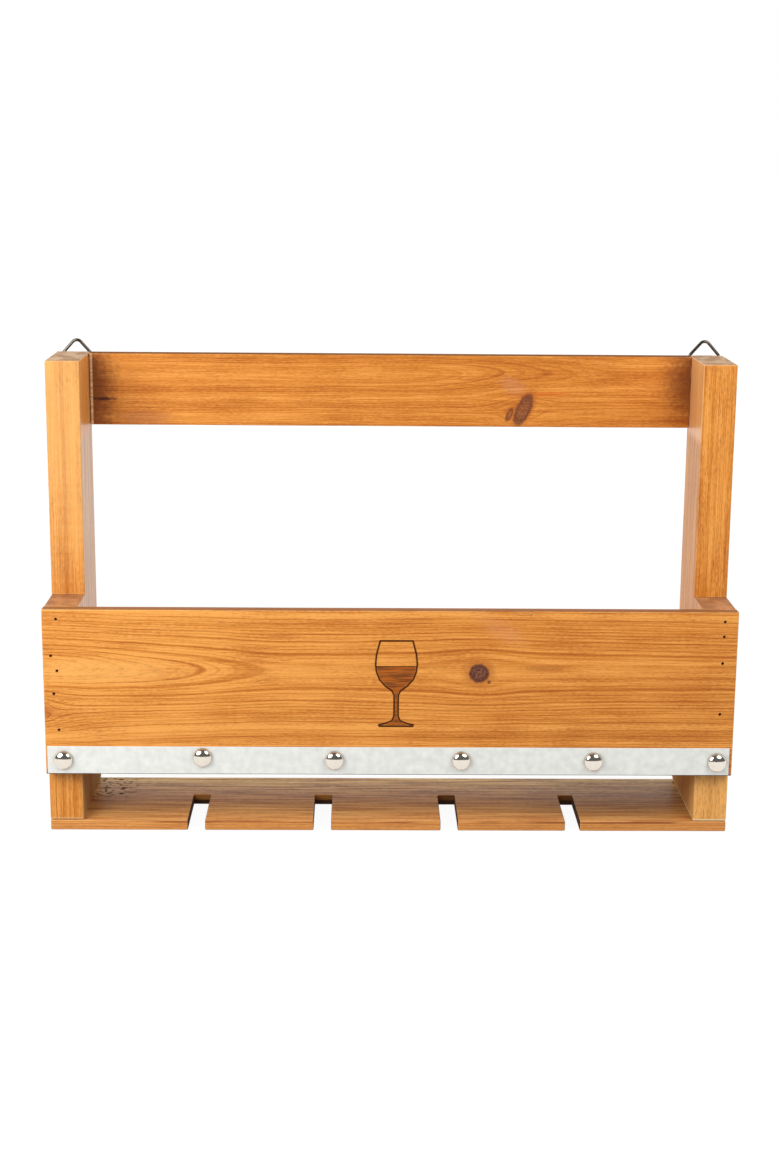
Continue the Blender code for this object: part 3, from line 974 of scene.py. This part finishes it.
class RACK_OT_rails(bpy.types.Operator):
    """Dresses the top back rail, with its tilted knot, and the rail behind the trough"""

    bl_idname = "rack.rails"
    bl_label = "Rails"

    def execute(self, context):
        cut = Cut(
            axes=(X, Z, Y), heart=(291.0, front_of("back_rail") + 12.0), seed=21.0,
            rises=((0, 160, 6.0),), darkenings=((-120, 0, 0.06), (-20, 60, 0.04)),
            ring_width=2.8, lines=0.4, shade=0.3,
            knots=(
                Knot(88.8, 268.9, 4.6, 11.0, tilt=-0.42, flow=8.0, halo=1.7, strength=0.75),
                Knot(79.5, 265.5, 1.9, 4.6, tilt=-0.4, flow=3.0, halo=1.7, strength=0.6),
            ),
            stains_and_shadows=(
                # Painted shadows: these two dark patches at the rail's ends stand for the shadows that the
                # posts cast on it
                StainOrShadow(-206.0, 280.0, 30.0, 60.0, srgb(110, 54, 22), 0.85),
                StainOrShadow(208.0, 290.0, 34.0, 44.0, srgb(110, 54, 22), 0.8),
                StainOrShadow(-192.0, 274.5, 12.0, 1.6, srgb(64, 26, 10), 0.9),
                StainOrShadow(-165.0, 262.0, 26.0, 7.0, srgb(176, 104, 62), 0.5),
                StainOrShadow(82.0, 284.0, 14.0, 8.0, srgb(210, 140, 96), 0.45, tilt=-0.5),
                StainOrShadow(100.0, 279.0, 26.0, 2.2, srgb(214, 112, 30), 0.7, tilt=0.05),
            ),
        )
        add_board("back_rail", pine("rail", cut, dress_rail), 2.0)
        cut = Cut(
            axes=(X, Z, Y), heart=(60.0, front_of("lower_back_rail") + 40.0), seed=27.0, ring_width=2.4,
            knots=(Knot(-120.0, 78.0, 4.0, 5.0, flow=6.0),),
        )
        add_board("lower_back_rail", pine("lower rail", cut), 3.0)
        return {"FINISHED"}


def dress_rack(finish, place, facing, colour):
    """The slotted board's rough top, painted paler as a reflection of the backdrop, most of all towards the
    back, darker to the right and torn at its back left corner, the red line along its front edge, and its
    slots: painted shade on their side walls, and on each end wall painted shadow below and painted light
    above."""
    x, y, z = place
    upper = facing[Z].rise(0.6, 0.9)
    forward = 1 - facing[Y].rise(-0.8, -0.5)
    end_wall = forward * y.rise(0.0, 4.0)
    # Painted shade on the slots' side walls
    slot_wall_shade = abs(facing[X]).rise(0.5, 0.8) * (1 - abs(x).rise(196.0, 200.0))
    rough = finish.noise(x / 60, y / 3, z, 5.0) - 0.5
    # Painted reflection and light: the rough top is painted paler, most of all towards the back
    rough_top_and_sheen = finish.mix((rough * 4.5 + 0.5).clamped(), srgb(255, 220, 136), srgb(178, 130, 64))
    rightward = x.rise(40.0, 150.0) * y.rise(-45.0, -25.0)
    flecks = finish.noise(x / 4, y / 3, 7.0).rise(0.55, 0.61)
    corner = (1 - (abs(x + 194) / 30).rise(0.3, 1.0)) * y.rise(0.0, 15.0) * upper
    torn = flecks * (corner * 0.85 + upper * 0.12)
    # Pale streaks towards the back of the top
    pale_streaks = finish.noise(x / 7, y / 1.8, 3.0, 3.0).rise(0.56, 0.66) * y.rise(-20.0, 25.0)
    red_line = finish.noise(x / 45, y, z / 2, 1.0).rise(0.45, 0.65) * z.rise(4.6, 5.8)
    # Painted light on the upper part of the slots' end walls
    lit_end_top = finish.mix(x.rise(-20.0, 20.0) * 0.6, srgb(224, 166, 88), srgb(90, 50, 26))
    colour = finish.painted(
        colour,
        # Painted reflection and light on the top
        (upper * (y.rise(-40.0, 30.0) * 0.3 + 0.6), rough_top_and_sheen),
        (upper * rightward * 0.3, srgb(100, 58, 14)),
        (upper * (1 - y.rise(-46.0, -12.0)) * 0.45, srgb(232, 144, 78)),
        (torn, srgb(40, 24, 14)),
        (pale_streaks * upper * 0.45, srgb(250, 232, 196)),
        # Painted shade on the slots' side walls
        (slot_wall_shade * 0.95, srgb(40, 20, 12)),
        (forward * 0.25, srgb(244, 184, 124)),
        (forward * red_line * 0.75, srgb(134, 58, 22)),
        # Painted shadow below, and painted light above, on each slot's end wall
        (end_wall * 0.92, finish.mix(z.rise(2.8, 4.2), srgb(50, 26, 14), lit_end_top)),
    )
    near_front = upper * (1 - y.rise(-35.0, 20.0)) * 0.5
    return colour, (end_wall * 0.5 + slot_wall_shade + near_front + torn).clamped()


class RACK_OT_glass_rack_board(bpy.types.Operator):
    """Dresses the thin slotted board that the glasses hang from"""

    bl_idname = "rack.glass_rack_board"
    bl_label = "Glass rack board"

    def execute(self, context):
        low, high = box_of("glass_rack_board")
        boxes = [((low[X], low[Y] + slot_length, low[Z]), high)]
        left = low[X]
        for middle_share, width_share in zip(slot_middle_shares, slot_width_shares):
            middle, half_width = frame_width * middle_share, slot_width * width_share / 2
            boxes.append(((left, low[Y], low[Z]), (middle - half_width, high[Y], high[Z])))
            left = middle + half_width
        boxes.append(((left, low[Y], low[Z]), high))
        cut = Cut(
            axes=(X, Y, Z), heart=(20.0, -38.0), seed=33.0, ring_width=1.7, lines=0.6, gloss=0.85,
            knots=(Knot(-0.8, 28.3, 2.4, 2.0, flow=4.0, halo=1.7),),
        )
        pits = brad_pits("glass_rack_brad", (0, 0, 1))
        add_board("glass_rack_board", pine("rack", cut, dress_rack), 4.0, boxes, pits)
        return {"FINISHED"}


class RACK_OT_trough_floor(bpy.types.Operator):
    """Dresses the board that the bottles stand on"""

    bl_idname = "rack.trough_floor"
    bl_label = "Trough floor"

    def execute(self, context):
        cut = Cut(axes=(X, Y, Z), heart=(-8.0, 100.0), seed=41.0, ring_width=2.6, shade=0.3)
        add_board("trough_floor", pine("floor", cut), 6.0)
        return {"FINISHED"}


# Metal pieces


class RACK_OT_trim_strip(bpy.types.Operator):
    """Dresses the galvanised strip, which lies a little wavy on the front board"""

    bl_idname = "rack.trim_strip"
    bl_label = "Trim strip"

    def execute(self, context):
        low, high = box_of("trim_strip")
        low = (low[X], low[Y], low[Z] + board_reveal)
        lines = [grid_lines((low[axis], high[axis]), strip_edge_radius, strip_pitch) for axis in range(3)]
        points, faces = block_surface([(low, high)], lines)
        points, arris = eased(points, [(low, high)], strip_edge_radius, np.zeros(len(points)))
        points[:, Y] += strip_wave * waves(points * (1.0, 0.0, 1.0), 2.0)
        # The strip's edges are painted white: a painted highlight
        look = {"scratch": 0.25, "metallic": 0.25, "edge": (1.0, 1.0, 1.0)}
        material = metal("galvanised", "galvanised strip", 0.5, 5.0, 0.14, **look)
        marks = {"edge": arris}
        add_piece("trim_strip", "frame", points, faces.tolist(), material, marks)
        return {"FINISHED"}


def dome_profile(radius, length):
    """A nail from its crown down: a rounded cap over a short upright rim, a hollow underside, a shank and
    a point. The cap is (radius sin turn, rim + (height - rim) cos turn)."""
    turn = np.linspace(0, math.pi / 2, 40)[1:]
    shank = nail_diameter / 2
    cap = zip(radius * np.sin(turn), -dome_rim - (dome_height - dome_rim) * np.cos(turn))
    return [
        (0, -dome_height), *cap, (radius, -dome_rim * 0.4), (radius - dome_rim * 0.25, 0),
        (radius - dome_rim, 0), (radius - dome_rim * 1.5, -dome_rim * 0.5), (shank * 1.6, -dome_rim * 0.5),
        (shank, 0), (shank, 0.25 * length), (shank, length - nail_point),
        (shank * 0.3, length - 0.1 * nail_point), (0, length),
    ]


class RACK_OT_dome_nails(bpy.types.Operator):
    """Dresses the six polished dome nails"""

    bl_idname = "rack.dome_nails"
    bl_label = "Dome nails"

    def execute(self, context):
        # Painted shade round the rim of each nail, where it meets the strip
        dark = srgb(112, 96, 80)
        inward = (0, 1, 0)
        material = metal("nickel", "polished nickel nail", 0.1, 3.0, 0.05, scratch=0.04, edge=dark)
        for name in nodes_named("dome_nail_"):
            place, length, radius = driven(name, inward, dome_height)
            points, faces = skin(*turned(dome_profile(radius, length), 96))
            spread = np.hypot(points[:, X], points[:, Y]) / radius
            points = placed(points, place, inward)
            marks = {"edge": 0.4 * smooth_step(spread, 0.93, 0.995)}
            add_piece(name, "frame", points, faces, material, marks)
        return {"FINISHED"}


def arc(middle, radius, start, end, steps):
    """Points at even turns along an arc: middle + radius (cos turn, sin turn)."""
    turn = np.linspace(start, end, steps + 1)
    return np.stack([middle[0] + radius * np.cos(turn), middle[1] + radius * np.sin(turn)], axis=-1)


def run_along(path):
    """How far along the path each of its points lies."""
    return np.concatenate([[0], np.cumsum(np.linalg.norm(np.diff(path, axis=0), axis=1))])


def even_path(path, count):
    """The same path with its points at even distances."""
    run = run_along(path)
    places = np.linspace(0, run[-1], count + 1)
    return np.stack([np.interp(places, run, path[:, column]) for column in range(2)], axis=-1)


def ring_path():
    """The wire's middle line: a triangle with a rounded apex and two rounded base corners."""
    corner = (ring_half_base - ring_corner_radius / math.tan(ring_leg_angle / 2), ring_corner_radius)
    apex = (0, ring_half_base * math.tan(ring_leg_angle) - ring_apex_radius / math.cos(ring_leg_angle))
    leg_normal = math.pi / 2 - ring_leg_angle
    right = arc(corner, ring_corner_radius, -math.pi / 2, leg_normal, 14)
    top = arc(apex, ring_apex_radius, leg_normal, math.pi - leg_normal, 24)
    left = right[::-1] * (-1, 1)
    corners = np.vstack([right, top, left])
    return even_path(np.vstack([corners, corners[:1]]), 220)[:-1]


def hangers():
    """Each ring's body, the side it hangs on, and the middle of its eye."""
    for joint in frame["record"]["behaviour"]["joints"]:
        body = joint["child"]
        yield body, body.split("_")[1], np.array(joint["pos_m"])


class RACK_OT_hanger_rings(bpy.types.Operator):
    """Dresses the two bent wire rings"""

    bl_idname = "rack.hanger_rings"
    bl_label = "Hanger rings"

    def execute(self, context):
        material = metal("gunmetal", "gunmetal wire", 0.2, 4.0, 0.2, scratch=0.12)
        points, faces = skin(closed_tube(ring_path(), wire_diameter / 2, 24))
        for body, _, eye in hangers():
            add_piece(f"hanger_{body}", body, points + eye, faces, material)
        return {"FINISHED"}


def strap_path():
    """The folded strap from its side, about the eye's middle: up one leaf, round the eye and down."""
    eye_radius = wire_diameter / 2 + eye_clearance + strap_thickness / 2
    back_leaf = -eye_radius + strap_thickness + eye_clearance
    eye = arc((0, 0), eye_radius, math.pi, -eye_wrap, 40)
    slope = np.array([-math.sin(eye_wrap), -math.cos(eye_wrap)])
    bend = eye[-1] + slope * ((back_leaf - eye[-1][0]) / slope[0])
    front = np.stack([np.full(30, -eye_radius), np.linspace(-strap_length, 0, 30)], axis=-1)[:-1]
    back = np.stack([np.full(24, back_leaf), np.linspace(bend[1], -strap_length, 24)], axis=-1)
    return np.vstack([front, eye, back])


def ribbon(path, half_width, half_thickness, corner_radius):
    """A flat strip on a path of (y, z) points: at each point a rounded oblong across X, made narrower
    towards both ends by corner_radius - root(corner_radius squared - (corner_radius - run) squared)."""
    run = run_along(path)
    tangent = np.gradient(path, axis=0)
    tangent /= np.linalg.norm(tangent, axis=1, keepdims=True)
    normal = np.stack([-tangent[:, 1], tangent[:, 0]], axis=-1)
    from_end = np.minimum(run, run[-1] - run)
    short = np.clip(corner_radius - from_end, 0, corner_radius)
    width = half_width - corner_radius + np.sqrt(corner_radius**2 - short**2)
    turn = (np.arange(40) + 0.5) * (math.tau / 40)
    across = np.sign(np.cos(turn)) * np.abs(np.cos(turn)) ** 0.12
    through = np.sign(np.sin(turn)) * np.abs(np.sin(turn)) ** 0.35
    x = width[:, None] * across[None, :]
    y = path[:, 0][:, None] + half_thickness * through[None, :] * normal[:, 0][:, None]
    z = path[:, 1][:, None] + half_thickness * through[None, :] * normal[:, 1][:, None]
    return np.stack([x, y, z], axis=-1)


class RACK_OT_hanger_straps(bpy.types.Operator):
    """Dresses the folded straps that hold the rings"""

    bl_idname = "rack.hanger_straps"
    bl_label = "Hanger straps"

    def execute(self, context):
        material = metal("plated", "plated strap", 0.3, 5.0, 0.12, scratch=0.15)
        sections = ribbon(strap_path(), strap_width / 2, strap_thickness / 2, strap_corner_radius)
        points, faces = skin(sections, sections[[0, -1]].mean(axis=1))
        for _, side, eye in hangers():
            add_piece(f"hanger_strap_{side}", "frame", points + eye, faces, material)
        return {"FINISHED"}


def screw_surface(radius, length):
    """A pan-head screw along Z. The thread narrows the shank by a saw-tooth of its height less the turn's
    share of a pitch, and the cross recess sinks the crown where either arm is near."""
    shank = screw_diameter / 2
    sides = 64
    turn = np.linspace(0, math.pi / 2, 36)[1:]
    crown_height = screw_head_height - screw_head_rim
    crown = zip(radius * np.sin(turn), -screw_head_rim - crown_height * np.cos(turn))
    drop = np.linspace(0.02, 0.98, 110)
    taper = np.clip((1 - drop) * length / screw_point, 0.05, 1)
    profile = [
        (0, -screw_head_height), *crown, (radius, -screw_head_rim * 0.3), (radius * 0.95, 0), (shank, 0),
        *zip(shank * taper, drop * length), (0, length),
    ]
    rings, tips = turned(profile, sides)
    saw = (rings[..., Z] / thread_pitch - (np.arange(sides) / sides)[None, :]) % 1
    core = 1 - thread_depth_share * np.abs(2 * saw - 1)
    rings[..., :2] *= np.where(rings[..., Z] > 0.6 * MM, core, 1)[..., None]
    reach = np.sort(np.abs(rings[..., :2]), axis=-1)
    arm = 1 - smooth_step(reach[..., 0], recess_half_width, recess_half_width + 0.25 * MM)
    arm *= 1 - smooth_step(reach[..., 1], recess_half_length, recess_half_length + 0.4 * MM)
    rings[..., Z] += np.where(rings[..., Z] < -screw_head_rim, arm * recess_depth, 0)
    tips[0, Z] += recess_middle_depth
    return skin(rings, tips)


class RACK_OT_hanger_screws(bpy.types.Operator):
    """Dresses the pan-head screws, with a cross recess and a thread"""

    bl_idname = "rack.hanger_screws"
    bl_label = "Hanger screws"

    def execute(self, context):
        material = metal("plated", "plated screw", 0.25, 3.0, 0.12, scratch=0.12)
        forward = (0, -1, 0)
        for name in nodes_named("hanger_screw_"):
            place, length, radius = driven(name, forward, screw_head_height)
            points, faces = screw_surface(radius, length)
            points = placed(points, place, forward)
            add_piece(name, "frame", points, faces, material)
        return {"FINISHED"}


class RACK_OT_brads(bpy.types.Operator):
    """Dresses every sunk brad, with a dished head and a cut point"""

    bl_idname = "rack.brads"
    bl_label = "Brads"

    def execute(self, context):
        material = metal("brad_steel", "brad steel", 0.85, 2.0, 0.25)
        for name in nodes_named("_brad_"):
            low, high = (np.array(corner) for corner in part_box(name))
            axis = int(np.argmax(high - low))
            way = np.zeros(3)
            way[axis] = -1.0 if axis == X and low[X] > 0 else 1.0
            place, length, radius = driven(name, way)
            profile = [
                (0, 0.12 * MM), (radius * 0.6, 0.1 * MM), (radius * 0.9, 0), (radius, 0.08 * MM),
                (radius, 0.5 * MM), (radius * 0.93, 0.7 * MM), (radius * 0.93, length - 1.5 * MM),
                (radius * 0.2, length - 0.1 * MM), (0, length),
            ]
            points, faces = skin(*turned(profile, 20))
            add_piece(name, "frame", placed(points, place, way), faces, material)
        return {"FINISHED"}


# Stage


def lamp(name, place, size, share):
    """A round soft lamp that aims at the rack, and lights a white face turned to it to this share."""
    data = bpy.data.lights.new(name, "AREA")
    data.shape = "DISK"
    data.size = size
    way = Vector(place) - lamp_aim
    data.energy = share * math.pi**2 * way.length_squared
    made = bpy.data.objects.new(name, data)
    made.location = place
    made.rotation_euler = way.to_track_quat("Z", "Y").to_euler()
    made.visible_camera = False
    bpy.context.scene.collection.objects.link(made)


class RACK_OT_stage(bpy.types.Operator):
    """Makes the camera, the two lamps, the world light and the pale floor"""

    bl_idname = "rack.stage"
    bl_label = "Stage"

    def execute(self, context):
        settings = context.scene.rack_stage
        context.scene.view_settings.view_transform = "Standard"
        add_camera(settings)
        lamp("left_lamp", settings.left_place, settings.lamp_size, settings.left_light)
        lamp("right_lamp", settings.right_place, settings.lamp_size, settings.right_light)
        add_world(settings)
        add_floor(settings)
        return {"FINISHED"}


def add_camera(settings):
    data = bpy.data.cameras.new("camera")
    data.sensor_width = 36
    data.lens = settings.lens
    data.clip_start = 0.05
    heading = Matrix.Rotation(-settings.camera_yaw, 3, "Z")
    tilt = Matrix.Rotation(math.pi / 2 - settings.camera_pitch, 3, "X")
    roll = Matrix.Rotation(settings.camera_roll, 3, "Z")
    made = bpy.data.objects.new("camera", data)
    made.location = settings.camera_place
    made.rotation_euler = (heading @ tilt @ roll).to_euler()
    bpy.context.scene.collection.objects.link(made)
    bpy.context.scene.camera = made


def seen_by(finish):
    """One for the rays that look: those from the camera or through glass, those off a gloss, and both."""
    outputs = finish.node("ShaderNodeLightPath").socket.node.outputs
    rays = ("Is Camera Ray", "Is Transmission Ray", "Is Glossy Ray")
    camera_ray, transmission_ray, glossy_ray = (Signal(finish, outputs[name]) for name in rays)
    direct = camera_ray + transmission_ray
    return direct, glossy_ray, (direct + glossy_ray).clamped()


def add_world(settings):
    """White to the camera. Mirrors see it white behind the rack and dim in front, where the room is, and
    the matt surfaces are lit by it the same way."""
    world = bpy.data.worlds.new("studio")
    bpy.context.scene.world = world
    finish = Finish(world)
    direct, glossy_ray, shown = seen_by(finish)
    direction = finish.parts(finish.node("ShaderNodeTexCoord", output="Generated"))
    behind = direction[Y].rise(-0.25, 0.25)
    strength = direct + glossy_ray * (behind * (1 - room_share) + room_share)
    lit = (1 - shown) * (behind * (settings.backdrop - settings.ambient) + settings.ambient)
    inputs = {"Color": (1, 1, 1, 1), "Strength": strength + lit}
    finish.end("ShaderNodeOutputWorld", finish.node("ShaderNodeBackground", inputs=inputs))


def add_floor(settings):
    """A flat floor just under the rack, which the camera sees near white, with the rack's soft shadow."""
    mesh = bpy.data.meshes.new("floor")
    signs = ((-1, -1), (1, -1), (1, 1), (-1, 1))
    corners = [(x * floor_half_size, y * floor_half_size, floor_level) for x, y in signs]
    mesh.from_pydata(corners, [], [(0, 1, 2, 3)])
    floor = bpy.data.objects.new("floor", mesh)
    bpy.context.scene.collection.objects.link(floor)
    finish = Finish(bpy.data.materials.new("pale floor"))
    x, y, _ = finish.place()
    distance = (x * x + y * y).root()
    glow = settings.floor_glow + distance.rise(*floor_fade) * (1 - settings.floor_glow)
    matt = finish.diffuse(settings.floor_colour)
    thin = finish.diffuse((settings.floor_shadow,) * 3)
    light = finish.node("ShaderNodeEmission", inputs={"Strength": glow})
    lit = finish.node("ShaderNodeAddShader", inputs={0: thin, 1: light})
    seen = finish.node("ShaderNodeMixShader", inputs={0: seen_by(finish)[-1], 1: matt, 2: lit})
    finish.end("ShaderNodeOutputMaterial", seen)
    mesh.materials.append(finish.block)


operators = (
    RACK_OT_stage,
    RACK_OT_front_board,
    RACK_OT_side_panels,
    RACK_OT_rails,
    RACK_OT_glass_rack_board,
    RACK_OT_trough_floor,
    RACK_OT_trim_strip,
    RACK_OT_dome_nails,
    RACK_OT_hanger_rings,
    RACK_OT_hanger_straps,
    RACK_OT_hanger_screws,
    RACK_OT_brads,
)


class RACK_PT_pieces(bpy.types.Panel):
    """The rack's pieces and their settings, in the 3D view's sidebar"""

    bl_idname = "RACK_PT_pieces"
    bl_label = "Wall wine rack"
    bl_space_type = "VIEW_3D"
    bl_region_type = "UI"
    bl_category = "Rack"

    def draw(self, context):
        for operator in operators:
            self.layout.operator(operator.bl_idname)
        for group in (context.scene.rack_pine, context.scene.rack_metal, context.scene.rack_stage):
            box = self.layout.box()
            for name in group.bl_rna.properties.keys():
                if name not in ("rna_type", "name"):
                    box.prop(group, name)


settings_groups = {"rack_pine": PineSettings, "rack_metal": MetalSettings, "rack_stage": StageSettings}


def register():
    for group_name, group in settings_groups.items():
        bpy.utils.register_class(group)
        setattr(bpy.types.Scene, group_name, PointerProperty(type=group))
    for operator in (*operators, RACK_PT_pieces):
        bpy.utils.register_class(operator)


def unregister():
    for operator in reversed((*operators, RACK_PT_pieces)):
        bpy.utils.unregister_class(operator)
    for group_name, group in settings_groups.items():
        delattr(bpy.types.Scene, group_name)
        bpy.utils.unregister_class(group)


def main():
    register()
    for operator in operators:
        category, name = operator.bl_idname.split(".")
        getattr(getattr(bpy.ops, category), name)()


if __name__ == "__main__":
    main()
